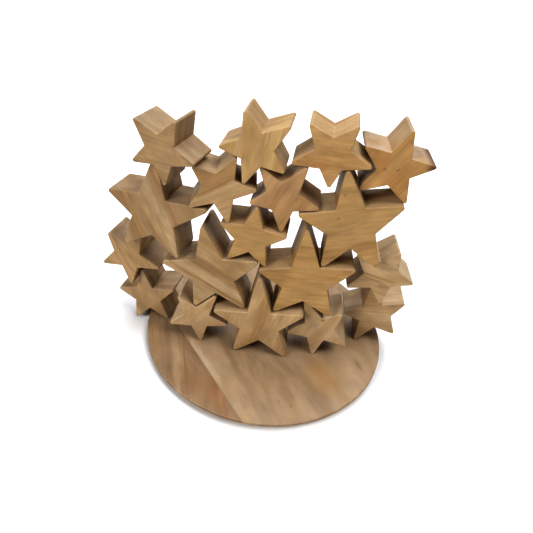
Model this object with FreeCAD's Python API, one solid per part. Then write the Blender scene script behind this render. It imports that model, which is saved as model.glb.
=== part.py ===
import FreeCAD, Part
import os
from math import cos, radians, sin
from FreeCAD import Vector

os.makedirs("parts", exist_ok=True)

# Millimetres. X runs across the wall of stars, Y from the front of the wall to its
# back, Z up. The base stands on Z = 0 with its middle at X = Y = 0.

# Driving dimensions of the base
BASE_DIAMETER = 240.0
BASE_THICKNESS = 10.0
BASE_RIM = 3.0            # upright part of the rim, above the undercut
BASE_UNDERCUT = 8.0       # how far the underside is cut back from the rim
BASE_EDGE_ROUND = 1.2
JOINT_DIRECTION = 128.0   # which way the glued joint runs, from the X axis
JOINT_OFFSET = 81.0       # how far left of the middle the joint passes

# Driving dimensions of the stars
STAR_THICKNESS = 32.0     # every star is sawn from the same thickness of board
SMALL_TIP_ROUND = 1.6
LARGE_TIP_ROUND = 2.2
NOTCH_ROUND = 0.8
STAR_EDGE_ROUND = 0.9     # sanded edge round the front and back faces

# The stars were sawn by hand, so no two are alike. Each is given as
#   name: (across, back, up), swivel, waist, five points
# across, back and up place its middle, with up measured from the top of the base.
# swivel turns it about the upright axis. waist is how far the notches between the
# points are from its middle. A point is (length, bearing), where the bearing is
# like a compass seen from the front: 0 is straight up and 90 is to the right.
SMALL_STARS = {
    "star_top_left": ((-90, -25, 194.5), -14, 13,
        [(32, 315), (30, 27), (30, 99), (29, 174), (29, 242)]),
    "star_top_mid_left": ((-24, -20, 203.7), -5, 13.5,
        [(31, 339), (34, 48), (29, 122), (32, 194), (30, 265)]),
    "star_top_mid_right": ((30.7, -20, 207), -4, 13.5,
        [(30, 316), (30, 32), (33, 99), (27, 175), (33, 249)]),
    "star_top_right": ((77, -17, 202), -1, 13.5,
        [(31, 299), (33, 10), (32, 79), (33, 150), (32, 227)]),
    "star_upper_left": ((-51, -21, 169), 5, 13.5,
        [(29, 308), (31, 22), (31, 87), (34, 165), (32, 232)]),
    "star_upper_mid": ((0, -19, 167), -4, 13.5,
        [(33, 319), (35, 28), (32, 98), (33, 175), (29, 251)]),
    "star_centre": ((-21, -21, 128), -4, 14,
        [(31, 5), (32, 77), (32, 151), (33, 217), (30, 291)]),
    "star_left_high": ((-133, 3, 73.5), -11, 14,
        [(30, 320), (32, 30), (35, 98), (35, 177), (33, 241)]),
    "star_right_high": ((94, -8, 98.5), 1, 15.5,
        [(35, 309), (29, 22), (32, 99), (34, 168), (34, 238)]),
    "star_left_low": ((-119, 7, 23), -9, 14.5,
        [(37, 354), (37, 58), (34, 136), (36, 203), (32, 276)]),
    "star_bottom_left": ((-64, -20, 29.8), -3, 13,
        [(32, 320), (39, 28), (32, 95), (33, 173), (33, 244)]),
    "star_bottom_right": ((50, -18, 33.8), -1, 15,
        [(41, 332), (31, 40), (36, 119), (37, 180), (32, 253)]),
    "star_right_low": ((105, 10, 35.9), -1, 15.5,
        [(40, 344), (35, 52), (34, 128), (41, 197), (31, 267)]),
}
LARGE_STARS = {
    "star_large_left": ((-102, -13, 133), -13, 20.5,
        [(45, 288), (54, 4), (55, 71), (47, 150), (50, 218)]),
    "star_large_right": ((56, -21, 151), -1, 20,
        [(53, 345), (46, 56), (49, 140), (49, 201), (47, 276)]),
    "star_large_mid_left": ((-51.5, -20, 84), -5, 20.5,
        [(53, 348), (48, 61), (48, 135), (46, 201), (49, 275)]),
    "star_large_mid_right": ((27.8, -23, 90.9), 2, 20.5,
        [(58, 353), (48, 64), (48, 141), (46, 213), (45, 281)]),
    "star_large_bottom": ((-6, -27, 37.5), 0, 19,
        [(61, 355), (47, 64), (52, 142), (46, 210), (49, 284)]),
}


def corner(distance, bearing):
    """A corner of a star's face, which lies in the XZ plane."""
    return Vector(distance * sin(radians(bearing)), 0, distance * cos(radians(bearing)))


def star(points, waist, tip_round):
    """A five-pointed star standing upright, its middle at the origin."""
    corners = []
    for this, after in zip(points, points[1:] + points[:1]):
        length, bearing = this
        turn = (after[1] - bearing) % 360
        corners.append(corner(length, bearing))
        corners.append(corner(waist, bearing + turn / 2))
    outline = Part.makePolygon(corners + corners[:1])
    blank = Part.Face(outline).extrude(Vector(0, STAR_THICKNESS, 0))
    blank.translate(Vector(0, -STAR_THICKNESS / 2, 0))

    saw_edges = [e for e in blank.Edges if e.BoundBox.YLength > STAR_THICKNESS / 2]
    tips = [e for e in saw_edges if e.CenterOfMass.Length > 1.25 * waist]
    blank = blank.makeFillet(tip_round, tips)
    saw_edges = [e for e in blank.Edges if e.BoundBox.YLength > STAR_THICKNESS / 2]
    notches = [e for e in saw_edges if e.CenterOfMass.Length < 1.02 * waist]
    blank = blank.makeFillet(NOTCH_ROUND, notches)
    face_edges = [e for e in blank.Edges if e.BoundBox.YLength < 0.01]
    return blank.makeFillet(STAR_EDGE_ROUND, face_edges)


def placed(shape, middle, swivel):
    across, back, up = middle
    shape = shape.copy()
    shape.rotate(Vector(0, 0, 0), Vector(0, 0, 1), swivel)
    shape.translate(Vector(across, back, BASE_THICKNESS + up))
    return shape


def base_disc():
    """The whole round base: upright rim, rounded top edge, underside cut back."""
    radius = BASE_DIAMETER / 2
    disc = Part.makeCylinder(radius, BASE_RIM, Vector(0, 0, BASE_THICKNESS - BASE_RIM))
    top_edge = [e for e in disc.Edges if e.CenterOfMass.z > BASE_THICKNESS - 0.01]
    disc = disc.makeFillet(BASE_EDGE_ROUND, top_edge)
    under = Part.makeCone(radius - BASE_UNDERCUT, radius, BASE_THICKNESS - BASE_RIM)
    return disc.fuse(under).removeSplitter()


def base_boards():
    """The base cut along its glued joint into the left and the right board."""
    disc = base_disc()
    size = 2 * BASE_DIAMETER
    side = Part.makeBox(size, size, size, Vector(-size / 2, 0, -size / 2))
    along = radians(JOINT_DIRECTION)
    side.rotate(Vector(0, 0, 0), Vector(0, 0, 1), JOINT_DIRECTION)
    side.translate(Vector(-sin(along), cos(along), 0) * JOINT_OFFSET)
    return disc.common(side), disc.cut(side)


def save(name, shape):
    assert shape.isValid(), name
    assert len(shape.Solids) == 1, name
    shape.Solids[0].exportStep("parts/" + name + ".step")


left_board, right_board = base_boards()
save("base_board_left", left_board)
save("base_board_right", right_board)
for stars, tip_round in ((SMALL_STARS, SMALL_TIP_ROUND), (LARGE_STARS, LARGE_TIP_ROUND)):
    for name, (middle, swivel, waist, points) in stars.items():
        save(name, placed(star(points, waist, tip_round), middle, swivel))
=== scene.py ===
from math import cos, radians, sin

import bpy
from mathutils import Matrix, Vector


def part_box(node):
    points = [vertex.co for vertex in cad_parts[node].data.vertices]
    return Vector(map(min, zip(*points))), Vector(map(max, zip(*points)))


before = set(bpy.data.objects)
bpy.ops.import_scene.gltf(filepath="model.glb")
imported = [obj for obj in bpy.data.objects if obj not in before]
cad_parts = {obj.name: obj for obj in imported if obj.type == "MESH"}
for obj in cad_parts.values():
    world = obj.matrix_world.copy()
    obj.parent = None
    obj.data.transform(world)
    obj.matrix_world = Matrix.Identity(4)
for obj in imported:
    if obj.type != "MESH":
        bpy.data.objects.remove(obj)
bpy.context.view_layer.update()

MM = 0.001
UP = Vector((0, 0, 1))
VIEW_GAMMA = 0.74         # under 1 deepens the shadows, as a camera's contrast does
WORLD_STRENGTH = 0.01
LAMP_DISTANCE = 1.7       # metres, as are the next two
FLOOR_RADIUS = 8.0
BACKDROP_RADIUS = 7.9

# ------------------------------------------------------------------ camera

CAMERA_PLACE = Vector((-5.4, -346.7, 345.0)) * MM
CAMERA_TURN = -0.2        # degrees to the right of straight ahead, +Y
CAMERA_DROP = 36.92       # degrees below level
CAMERA_ROLL = 7.58        # degrees anticlockwise
LENS_MM = 30.8
SENSOR_MM = 36.0


def make_camera():
    turn, drop, roll = radians(CAMERA_TURN), radians(CAMERA_DROP), radians(CAMERA_ROLL)
    ahead = Vector((sin(turn) * cos(drop), cos(turn) * cos(drop), -sin(drop)))
    level = ahead.cross(UP).normalized()
    above = level.cross(ahead)
    right = cos(roll) * level + sin(roll) * above
    top = cos(roll) * above - sin(roll) * level
    data = bpy.data.cameras.new("camera")
    data.lens = LENS_MM
    data.sensor_width = SENSOR_MM
    data.clip_start = 0.01
    camera = bpy.data.objects.new("camera", data)
    bpy.context.scene.collection.objects.link(camera)
    axes = Matrix((right, top, -ahead)).transposed().to_4x4()
    camera.matrix_world = Matrix.Translation(CAMERA_PLACE) @ axes
    bpy.context.scene.camera = camera


# ------------------------------------------------------------------ nodes

def linear(red, green, blue):
    """A screen colour, 0 to 255, as the linear colour that shaders take."""
    def channel(value):
        value = (value / 255) ** VIEW_GAMMA
        return value / 12.92 if value <= 0.04045 else ((value + 0.055) / 1.055) ** 2.4
    return (channel(red), channel(green), channel(blue), 1.0)


class Tree:
    """Short ways to write a material's nodes. A value is a number or a socket."""

    def __init__(self, name):
        self.material = bpy.data.materials.new(name)
        self.material.use_nodes = True
        self.nodes = self.material.node_tree.nodes
        self.links = self.material.node_tree.links
        self.shader = self.nodes["Principled BSDF"]

    def add(self, kind, settings=None, **inputs):
        made = self.nodes.new("ShaderNode" + kind)
        for key, value in (settings or {}).items():
            setattr(made, key, value)
        for key, value in inputs.items():
            self.put(made.inputs[key.replace("_", " ")], value)
        return made

    def put(self, socket, value):
        if isinstance(value, bpy.types.NodeSocket):
            self.links.new(value, socket)
        else:
            socket.default_value = value

    def math(self, operation, *values, clamp=False):
        made = self.add("Math", {"operation": operation, "use_clamp": clamp})
        for socket, value in zip(made.inputs, values):
            self.put(socket, value)
        return made.outputs[0]

    def vector(self, operation, *values):
        made = self.add("VectorMath", {"operation": operation})
        for socket, value in zip(made.inputs, values):
            self.put(socket, value)
        result = "Value" if operation in ("DOT_PRODUCT", "LENGTH") else "Vector"
        return made.outputs[result]

    def noise(self, place, detail=2.0, rough=0.5):
        made = self.add("TexNoise", {"noise_dimensions": "3D"}, Vector=place,
                        Scale=1.0, Detail=detail, Roughness=rough)
        return made.outputs[0]

    def line_noise(self, place, detail):
        """Noise along one line only."""
        made = self.add("TexNoise", {"noise_dimensions": "1D"}, W=place,
                        Scale=1.0, Detail=detail)
        return made.outputs[0]

    def spread(self, value, low, high):
        """value from 0 to 1 becomes low to high."""
        return self.math("MULTIPLY_ADD", value, high - low, low)

    def step(self, value, start, end):
        """0 at start, 1 at end, smooth between them; start may be the larger."""
        made = self.add("MapRange", {"interpolation_type": "SMOOTHSTEP"},
                        Value=value, From_Min=start, From_Max=end)
        return made.outputs[0]

    def mix(self, factor, first, second, blend="MIX"):
        made = self.add("Mix", {"data_type": "RGBA", "blend_type": blend})
        for socket, value in zip((made.inputs[0], made.inputs[6], made.inputs[7]),
                                 (factor, first, second)):
            self.put(socket, value)
        return made.outputs[2]


# ------------------------------------------------------------------ wood

# Blotches of the figure, in millimetres along the grain and across it
RIPPLE = (26, 5)
RING_PATCH = (30, 9)
BAND_PATCH = (45, 16)
STREAK_PATCH = (40, 5)
PORE_PATCH = (40, 9)
CLOUD = (18, 12)
# size of the patches of painted sheen on faces that look up
SHEEN_PATCH = (24, 14)
WEAR_PATCH = (9, 4)
FIBRE = (16, 0.45)
FLECK = (22, 1.5)
PORES_PER_MM = Vector((0.16, 1.3, 1.3))
WORN_WIDTH = 1.4          # millimetres
RIPPLE_SHARE = 0.22       # of how far the slow waves bend the grain

# Shares of a darker colour laid over the rest
PORE_SHARE = 0.40
END_GRAIN_SHARE = 0.22


class Wood(Tree):
    """Nodes of solid wood. along is the way its grain runs and across lies in the face
    that shows it, at a right angle to it. Lengths are millimetres from middle."""

    def __init__(self, name, middle, along, across, seed):
        super().__init__(name)
        self.along = along
        turn = Matrix((along, across, along.cross(across))).transposed().to_euler()
        place = self.add("TexCoord").outputs["Object"]
        self.board = self.add("Mapping", {"vector_type": "TEXTURE"}, Vector=place,
                              Location=middle, Rotation=turn, Scale=(MM, MM, MM)).outputs[0]
        self.face = self.add("NewGeometry").outputs["Normal"]
        self.seed = seed

    def blotches(self, size, detail=2.0, rough=0.5):
        """Noise, mostly 0 to 1, with blotches of that size."""
        lengthwise, crosswise = size
        scale = Vector((1 / lengthwise, 1 / crosswise, 1 / crosswise))
        start = Vector((self.seed, self.seed * 1.7, self.seed * 0.6))
        scaled = self.vector("MULTIPLY", self.board, scale)
        made = self.noise(self.vector("ADD", scaled, start), detail, rough)
        return self.math("MULTIPLY_ADD", made, 2.2, -0.6)

    def grain(self, style):
        """The grain waves slowly, and flows round knots. Gives the distance across it,
        the distance from the pith, and each spot with how far inside it a point is."""
        x, y, z = self.add("SeparateXYZ", Vector=self.board).outputs
        slow = self.math("SUBTRACT", self.blotches(style["waves"]), 0.5)
        quick = self.math("SUBTRACT", self.blotches(RIPPLE), 0.5)
        wave = self.math("MULTIPLY", slow, style["bend"])
        wave = self.math("MULTIPLY_ADD", quick, RIPPLE_SHARE * style["bend"], wave)
        flow = self.math("ADD", y, wave)
        spots = []
        for mark in style["spots"]:
            far_x = self.math("DIVIDE", self.math("SUBTRACT", x, mark["along"]), mark["long"])
            far_y = self.math("DIVIDE", self.math("SUBTRACT", y, mark["across"]), mark["wide"])
            far = self.vector("LENGTH", self.add("CombineXYZ", X=far_x, Y=far_y).outputs[0])
            inside = self.math("SUBTRACT", 1.0, self.step(far, 0.15, 1.0))
            spots.append((inside, mark))
            wave = self.math("MULTIPLY_ADD", inside, mark["swirl"], wave)

        # the pith may lean away from the face
        pith_across, pith_deep = style["pith"]
        lean_across, lean_deep = style["lean"]
        off_y = self.math("SUBTRACT", self.math("MULTIPLY_ADD", x, lean_across, y), pith_across)
        off_z = self.math("SUBTRACT", self.math("MULTIPLY_ADD", x, lean_deep, z), pith_deep)
        radius = self.vector("LENGTH", self.add("CombineXYZ", X=off_y, Y=off_z).outputs[0])
        return flow, self.math("ADD", radius, wave), spots

    def rings(self, radius, style):
        """Rings of uneven width, and broader bands of colour that follow them."""
        count = self.math("DIVIDE", radius, style["ring"])
        uneven = self.line_noise(self.math("MULTIPLY_ADD", count, 0.31, self.seed), 2.0)
        part = self.math("FRACT", self.math("MULTIPLY_ADD", uneven, 2.2, count))
        ring = self.math("MULTIPLY", self.step(part, 0.0, 0.75), self.step(part, 1.0, 0.75))
        strong = self.spread(self.blotches(RING_PATCH), -0.1, 1.2)
        ring = self.math("MULTIPLY", ring, strong, clamp=True)
        band = self.math("MULTIPLY_ADD", radius, 1 / style["band"], self.seed)
        band = self.line_noise(band, 3.0)
        band = self.math("MULTIPLY_ADD", self.blotches(BAND_PATCH), 0.22, band)
        return ring, self.step(band, 0.42, 0.80)

    def fibres(self):
        """Fine fibres, longer flecks, and the short dark lines of pores."""
        fibre = self.blotches(FIBRE, 3.0, 0.62)
        fleck = self.blotches(FLECK)
        stretched = self.vector("MULTIPLY", self.board, PORES_PER_MM)
        cells = self.add("TexVoronoi", {"feature": "F1"}, Scale=1.0, Vector=stretched)
        pore = self.step(cells.outputs[0], 0.24, 0.10)
        few = self.step(self.blotches(PORE_PATCH), 0.30, 0.80)
        return fibre, fleck, self.math("MULTIPLY", pore, few)

    def end_grain(self):
        """1 where a face cuts across the grain."""
        normal = self.add("TexCoord").outputs["Normal"]
        square = self.math("ABSOLUTE", self.vector("DOT_PRODUCT", normal, self.along))
        return self.step(square, 0.45, 1.0)

    def lay(self, colour, share, where, over):
        """colour with over laid on it, by share of where."""
        return self.mix(self.math("MULTIPLY", where, share), colour, over)

    def streaked(self, colour, flow, streaks):
        for mark in streaks:
            near = self.math("ABSOLUTE", self.math("SUBTRACT", flow, mark["across"]))
            inside = self.step(near, mark["wide"] / 2, mark["wide"] / 5)
            patchy = self.spread(self.blotches(STREAK_PATCH), 0.55, 1.0)
            inside = self.math("MULTIPLY", inside, patchy)
            colour = self.lay(colour, mark["share"], inside, mark["colour"])
        return colour

    def speckled(self, colour, fibre, fleck, fine):
        """Lighter and darker by fibres and flecks, and by broad clouds."""
        level = self.math("MULTIPLY", self.spread(fibre, 1 - 0.06 * fine, 1 + 0.06 * fine),
                          self.spread(fleck, 1 - 0.09 * fine, 1 + 0.09 * fine))
        level = self.math("MULTIPLY", level, self.spread(self.blotches(CLOUD), 0.88, 1.12))
        grey = self.add("CombineXYZ", X=level, Y=level, Z=level).outputs[0]
        return self.mix(1.0, colour, grey, "MULTIPLY")

    def painted_sheen(self, colour, share):
        """Faces that look up get a pale painted sheen, standing in for the lamps' reflection on them.
        """
        upward = self.step(self.vector("DOT_PRODUCT", self.face, UP), 0.20, 0.75)
        patchy = self.spread(self.blotches(SHEEN_PATCH), 0.4, 1.3)
        upward = self.math("MULTIPLY", upward, patchy)
        return self.lay(colour, share, upward, shade(PAINTED_HIGHLIGHT))

    def worn(self, colour, edge_colour):
        """Edges rubbed by sanding and handling."""
        soft = self.add("Bevel", {"samples": 4}, Radius=WORN_WIDTH * MM).outputs[0]
        edge = self.step(self.vector("DOT_PRODUCT", soft, self.face), 0.995, 0.90)
        patchy = self.spread(self.blotches(WEAR_PATCH), -0.1, 0.3)
        rubbed = self.math("MULTIPLY", edge, patchy, clamp=True)
        return self.mix(rubbed, colour, edge_colour)

    def finish(self, colour, fibre, fleck, pore, end):
        """A sanded, lightly oiled surface."""
        self.put(self.shader.inputs["Base Color"], colour)
        rough = self.math("MULTIPLY_ADD", end, 0.10, self.spread(fibre, 0.42, 0.58))
        self.put(self.shader.inputs["Roughness"], rough)
        self.put(self.shader.inputs["Specular IOR Level"], 0.2)
        height = self.math("MULTIPLY_ADD", pore, -0.6, fibre)
        height = self.math("MULTIPLY_ADD", fleck, 0.8, height)
        bump = self.add("Bump", Strength=0.25, Distance=0.12 * MM, Height=height)
        self.put(self.shader.inputs["Normal"], bump.outputs[0])


def wood(name, middle, along, across, style):
    """Solid wood: growth rings round a pith, fibres, pores, marks and end grain, with a painted sheen
    on faces that look up.
    """
    tree = Wood(name, middle, along, across, style["seed"])
    flow, radius, spots = tree.grain(style)
    ring, band = tree.rings(radius, style)
    fibre, fleck, pore = tree.fibres()
    end = tree.end_grain()
    colour = tree.mix(band, style["pale"], style["warm"])
    colour = tree.streaked(colour, flow, style["streaks"])
    colour = tree.lay(colour, style["contrast"], ring, style["dark"])
    colour = tree.speckled(colour, fibre, fleck, style["fine"])
    colour = tree.lay(colour, PORE_SHARE, pore, style["dark"])
    # faces that look up get a pale painted sheen, standing in for the lamps' reflection
    colour = tree.painted_sheen(colour, style["sheen_share"])
    for inside, mark in spots:
        colour = tree.lay(colour, mark["share"], inside, mark["colour"])
    # end grain drinks more oil, so it is darker and duller
    colour = tree.lay(colour, END_GRAIN_SHARE, end, style["dark"])
    colour = tree.worn(colour, style["edge"])
    tree.finish(colour, fibre, fleck, pore, end)
    return tree.material


# ------------------------------------------------------------------ looks

# Tones of the wood as the eye sees them, on a screen scale of 0 to 255
HONEY = (170, 128, 75)
CARAMEL = (172, 132, 82)
GOLD = (178, 140, 87)
TAN = (169, 131, 86)
SAND = (168, 136, 95)
ROSY = (165, 130, 92)
GREYED = (161, 131, 95)
RUSSET = (168, 126, 82)
AMBER = (166, 121, 67)
DULL = (160, 127, 88)
PINKISH = (150, 116, 82)
RUST = (168, 108, 54)
RED_BROWN = (134, 88, 50)
DARK_BROWN = (112, 76, 45)
NEAR_BLACK = (60, 32, 24)
# a pale painted highlight: the sheen on faces that look up, and the highlight along the base's joint
PAINTED_HIGHLIGHT = (214, 200, 182)
CREAM = (196, 164, 124)
WOOD_LEVEL = (0.77, 0.77, 0.74)    # what of a tone is the wood's own, not the lamps'


def shade(tone, red=1.0, green=1.0, blue=1.0):
    """tone as the wood's own linear colour, with its three channels multiplied."""
    values = zip(linear(*tone), (red, green, blue), WOOD_LEVEL)
    return tuple(value * times * level for value, times, level in values) + (1.0,)


def streak(across, wide, tone, share=0.6):
    """A line of another colour that follows the grain."""
    return {"across": across, "wide": wide, "colour": shade(tone), "share": share}


def spot(right, up, size, tone, share=0.6, stretch=1.5, swirl=0.0):
    """A knot or patch, right of and above the middle; swirl bends the rings round it."""
    return {"right": right, "up": up, "long": size * stretch, "wide": size,
            "colour": shade(tone), "share": share, "swirl": swirl}


def look(grain, pith, seed, tone, ring=2.6, contrast=0.25, bend=4.5, waves=(60, 22),
         lean=(0.03, 0.05), band=11, spread=0.15, bright=1.0, fine=1.0, sheen_share=0.2,
         streaks=(), spots=()):
    """How one piece of wood looks. grain is its direction in the face, in degrees
    anticlockwise from the right; pith is (across, in front) of the middle, and lean how
    much that changes with each unit along. ring and band are the widths of rings and of
    colour bands, and bend is how far the grain wanders, in waves of (along, across).
    Lengths are millimetres. spread, contrast and fine are strengths, as is the share of the painted
    sheen on faces that look up."""
    turned = []
    for mark in spots:
        run, rise = cos(radians(grain)), sin(radians(grain))
        turned.append(mark | {"along": mark["right"] * run + mark["up"] * rise,
                              "across": mark["up"] * run - mark["right"] * rise})
    high, low = bright * (1 + spread), bright * (1 - spread)
    return {"grain": grain, "pith": pith, "seed": seed, "ring": ring, "contrast": contrast,
            "pale": shade(tone, high, high * 1.02, high * 1.06),
            "warm": shade(tone, low * 1.03, low * 0.97, low * 0.88),
            "dark": shade(tone, 0.55 * bright, 0.44 * bright, 0.32 * bright),
            "edge": shade(tone, 1.2, 1.24, 1.3),
            "bend": bend, "waves": waves, "fine": fine, "sheen_share": sheen_share, "lean": lean, "band": band,
            "streaks": streaks, "spots": turned}


STAR_LOOKS = {
    "star_top_left": look(
        -4, (12, -60), 1.3, TAN, bright=0.80, contrast=0.35, waves=(34, 16), bend=4,
        streaks=(streak(-9, 3, DARK_BROWN, 0.35), streak(9, 2.5, DARK_BROWN, 0.3))),
    "star_top_mid_left": look(
        83, (8, -55), 2.1, GOLD, bright=0.97, waves=(60, 14),
        streaks=(streak(-6, 7, RUSSET, 0.5), streak(12, 6, CREAM, 0.3))),
    "star_top_mid_right": look(
        2, (-6, -50), 3.7, CARAMEL, bright=1.05, contrast=0.4, waves=(30, 16),
        streaks=(streak(-2, 8, AMBER, 0.7), streak(-7, 2.5, RED_BROWN, 0.5)),
        spots=(spot(16, -9, 4, RUST, 0.7, 3), spot(-8, -8, 5, RUST, 0.5, 2.5),)),
    "star_top_right": look(
        58, (20, -45), 4.4, AMBER, bright=0.97, contrast=0.2, spread=0.14, sheen_share=0.5,
        streaks=(streak(7, 3, RED_BROWN, 0.4), streak(-4, 3, RED_BROWN, 0.25)),
        spots=(spot(-12, 2, 8, RUST, 0.6, 1.3), spot(-3, -10, 9, RUST, 0.35, 1.3),
               spot(-9, -2.4, 1.7, DARK_BROWN, 0.75, 1.6, 2),
               spot(0.5, -2, 1.5, DARK_BROWN, 0.75, 1.6, 2),
               spot(4, 20, 1.8, DARK_BROWN, 0.6, 1.6, 2),
               spot(25.5, 2.8, 7, NEAR_BLACK, 0.85, 1.0))),
    "star_large_left": look(
        -66, (24, -60), 5.2, TAN, bright=0.79, spread=0.14, contrast=0.2,
        streaks=(streak(2, 13, CREAM, 0.5), streak(12, 5, RED_BROWN, 0.6),
                 streak(-24, 5, AMBER, 0.6), streak(-12, 3, DARK_BROWN, 0.35))),
    "star_upper_left": look(
        30, (30, -60), 6.6, TAN, bright=0.96,
        streaks=(streak(2, 5, CREAM, 0.4), streak(6, 2, DARK_BROWN, 0.4))),
    "star_upper_mid": look(
        68, (20, -60), 7.9, RUSSET, bright=0.98, contrast=0.2,
        streaks=(streak(6, 9, RED_BROWN, 0.3), streak(-10, 7, HONEY, 0.5))),
    "star_large_right": look(
        18, (20, -70), 8.5, HONEY, bright=0.87, contrast=0.22,
        streaks=(streak(16, 9, GOLD, 0.5), streak(-30, 12, AMBER, 0.5)),
        spots=(spot(-14, -12, 6, DARK_BROWN, 0.4, 2.6), spot(-7, 25, 1.6, DARK_BROWN, 0.6),
               spot(-8, 4, 1.4, DARK_BROWN, 0.6))),
    "star_centre": look(0, (20, -60), 9.3, HONEY, bright=0.92, contrast=0.15, spread=0.08),
    "star_left_high": look(
        -62, (18, -48), 10.1, TAN, bright=0.95, contrast=0.35,
        streaks=(streak(-4, 2, DARK_BROWN, 0.5), streak(-10, 2, RED_BROWN, 0.5),
                 streak(3, 1.6, RED_BROWN, 0.4))),
    "star_left_low": look(
        -70, (22, -60), 11.8, DULL, bright=1.08, streaks=(streak(-2, 9, AMBER, 0.55),)),
    "star_large_mid_left": look(
        -28, (14, -60), 12.4, SAND, bright=1.00, spread=0.10, bend=3,
        streaks=(streak(3, 13, DARK_BROWN, 0.55), streak(-7, 7, CREAM, 0.5),
                 streak(-13, 3, DARK_BROWN, 0.75), streak(24, 8, RED_BROWN, 0.4))),
    "star_large_mid_right": look(
        1, (10, -80), 13.2, HONEY, bright=0.95, ring=2.0, contrast=0.30, bend=2.5,
        streaks=(streak(16, 8, AMBER, 0.45),)),
    "star_right_high": look(
        -12, (14, -50), 14.9, SAND, bright=1.09, contrast=0.4, waves=(26, 13), bend=4.5,
        streaks=(streak(1, 2.5, RED_BROWN, 0.55), streak(-3, 1.5, DARK_BROWN, 0.4)),
        spots=(spot(21, -9, 12, CREAM, 0.9, 1.2),)),
    "star_bottom_left": look(50, (40, -60), 15.7, GREYED, bright=1.24, contrast=0.2, spread=0.06),
    "star_large_bottom": look(
        76, (30, -80), 16.5, DULL, bright=1.17, contrast=0.2,
        streaks=(streak(0, 12, AMBER, 0.35), streak(-18, 8, TAN, 0.5))),
    "star_bottom_right": look(
        60, (50, -60), 17.3, GREYED, bright=1.18, contrast=0.15, spread=0.07,
        spots=(spot(2, 13, 1.6, NEAR_BLACK, 0.6, 1.6),)),
    "star_right_low": look(
        4, (40, -60), 18.6, DULL, bright=1.08, contrast=0.2, streaks=(streak(22, 14, AMBER, 0.6),)),
}
BOARD_LOOKS = {
    "base_board_right": look(
        -62, (40, -150), 21.4, ROSY, bright=0.80, ring=5.0, contrast=0.12, bend=5,
        waves=(90, 40), band=16, spread=0.18, fine=0.5, sheen_share=0.14,
        spots=(spot(20, -95, 2.4, DARK_BROWN, 0.35), spot(31, -98, 2.4, DARK_BROWN, 0.35),
               spot(95, -40, 3, DARK_BROWN, 0.5, 4), spot(60, -60, 22, AMBER, 0.5),
               # pale spots along the joint between the boards, fading towards the front: a painted
               # highlight of the joint
               spot(-66, -45, 4, PAINTED_HIGHLIGHT, 0.35, 5), spot(-56, -56, 4, PAINTED_HIGHLIGHT, 0.35, 5),
               spot(-46, -68, 4, PAINTED_HIGHLIGHT, 0.3, 5), spot(-37, -79, 4, PAINTED_HIGHLIGHT, 0.2, 5))),
    "base_board_left": look(
        -74, (-60, -70), 22.9, PINKISH, bright=0.88, ring=5.0, contrast=0.22, bend=5, waves=(90, 30),
        band=14, spread=0.20, fine=0.6, sheen_share=0.10,
        streaks=(streak(-111, 9, AMBER, 0.4), streak(-101, 5, DARK_BROWN, 0.6),
                 streak(-94, 8, CREAM, 0.35), streak(-85, 4, DARK_BROWN, 0.45),
                 streak(-58, 16, RED_BROWN, 0.7)),
        spots=(spot(-60, -84, 16, RED_BROWN, 0.35, 2.0, 3), spot(-42, -90, 14, RED_BROWN, 0.5, 1.8))),
}


def facing(node):
    """The way a star's front face looks: the mean of its faces that look forward."""
    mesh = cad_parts[node].data
    total = Vector()
    for face in mesh.polygons:
        if face.normal.y < -0.9:
            total += face.normal * face.area
    return total.normalized()


def dress(node, material):
    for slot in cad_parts[node].material_slots:
        slot.material = material


def dress_star(node, style):
    """Wood whose grain lies in the star's front face."""
    low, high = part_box(node)
    front = facing(node)
    right = UP.cross(front)
    grain = radians(style["grain"])
    along = cos(grain) * right + sin(grain) * UP
    across = cos(grain) * UP - sin(grain) * right
    dress(node, wood(node + "_wood", (low + high) / 2, along, across, style))


def dress_board(node, style):
    """Wood whose grain lies in the top of the base, measured from the base's middle."""
    grain = radians(style["grain"])
    along = Vector((cos(grain), sin(grain), 0))
    across = Vector((-sin(grain), cos(grain), 0))
    dress(node, wood(node + "_wood", Vector((0, 0, 0)), along, across, style))


# ------------------------------------------------------------------ studio

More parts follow.
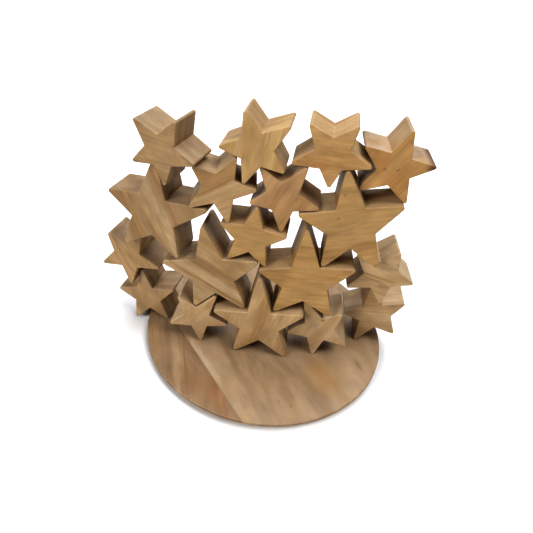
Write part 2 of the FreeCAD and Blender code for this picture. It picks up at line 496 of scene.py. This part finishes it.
def make_backdrop():
    """A white dome that only the camera sees, so it lights nothing and stops no lamp."""
    bpy.ops.mesh.primitive_uv_sphere_add(segments=64, ring_count=32, radius=BACKDROP_RADIUS)
    dome = bpy.context.object
    dome.name = "backdrop"
    paper = Tree("backdrop_paper")
    paper.put(paper.shader.inputs["Base Color"], (0, 0, 0, 1))
    paper.put(paper.shader.inputs["Specular IOR Level"], 0.0)
    paper.put(paper.shader.inputs["Emission Color"], (1, 1, 1, 1))
    paper.put(paper.shader.inputs["Emission Strength"], 1.0)
    dome.data.materials.append(paper.material)
    for kind in ("diffuse", "glossy", "transmission", "volume_scatter", "shadow"):
        setattr(dome, "visible_" + kind, False)


def make_floor():
    bpy.ops.mesh.primitive_circle_add(vertices=96, radius=FLOOR_RADIUS, fill_type="NGON")
    floor = bpy.context.object
    floor.name = "floor"
    paper = Tree("floor_paper")
    paper.put(paper.shader.inputs["Base Color"], (0.78, 0.78, 0.78, 1))
    paper.put(paper.shader.inputs["Roughness"], 0.9)
    paper.put(paper.shader.inputs["Specular IOR Level"], 0.0)
    floor.data.materials.append(paper.material)


def make_lamp(name, turn, height, strength, width, colour):
    """A soft lamp far off, width degrees across: turn is how far round it stands from
    the front, to the right, and height how far above level, both in degrees."""
    data = bpy.data.lights.new(name, "SUN")
    data.energy = strength
    data.color = colour
    data.angle = radians(width)
    turn, height = radians(turn), radians(height)
    away = Vector((sin(turn) * cos(height), -cos(turn) * cos(height), sin(height)))
    lamp = bpy.data.objects.new(name, data)
    lamp.location = away * LAMP_DISTANCE
    lamp.rotation_euler = away.to_track_quat("Z", "Y").to_euler()
    bpy.context.scene.collection.objects.link(lamp)


def make_light():
    world = bpy.data.worlds.new("studio")
    world.use_nodes = True
    world.node_tree.nodes["Background"].inputs["Color"].default_value = (1, 1, 1, 1)
    world.node_tree.nodes["Background"].inputs["Strength"].default_value = WORLD_STRENGTH
    bpy.context.scene.world = world
    make_lamp("left", -50, 30, 2.7, 30, (1.0, 1.0, 1.0))
    make_lamp("right", 60, 62, 2.4, 30, (1.0, 1.0, 1.0))
    make_lamp("back", 180, 68, 2.9, 50, (0.94, 1.0, 1.12))
    bpy.context.scene.view_settings.view_transform = "Standard"
    bpy.context.scene.view_settings.gamma = VIEW_GAMMA


make_camera()
make_backdrop()
make_floor()
make_light()
for star, star_look in STAR_LOOKS.items():
    dress_star(star, star_look)
for board, board_look in BOARD_LOOKS.items():
    dress_board(board, board_look)
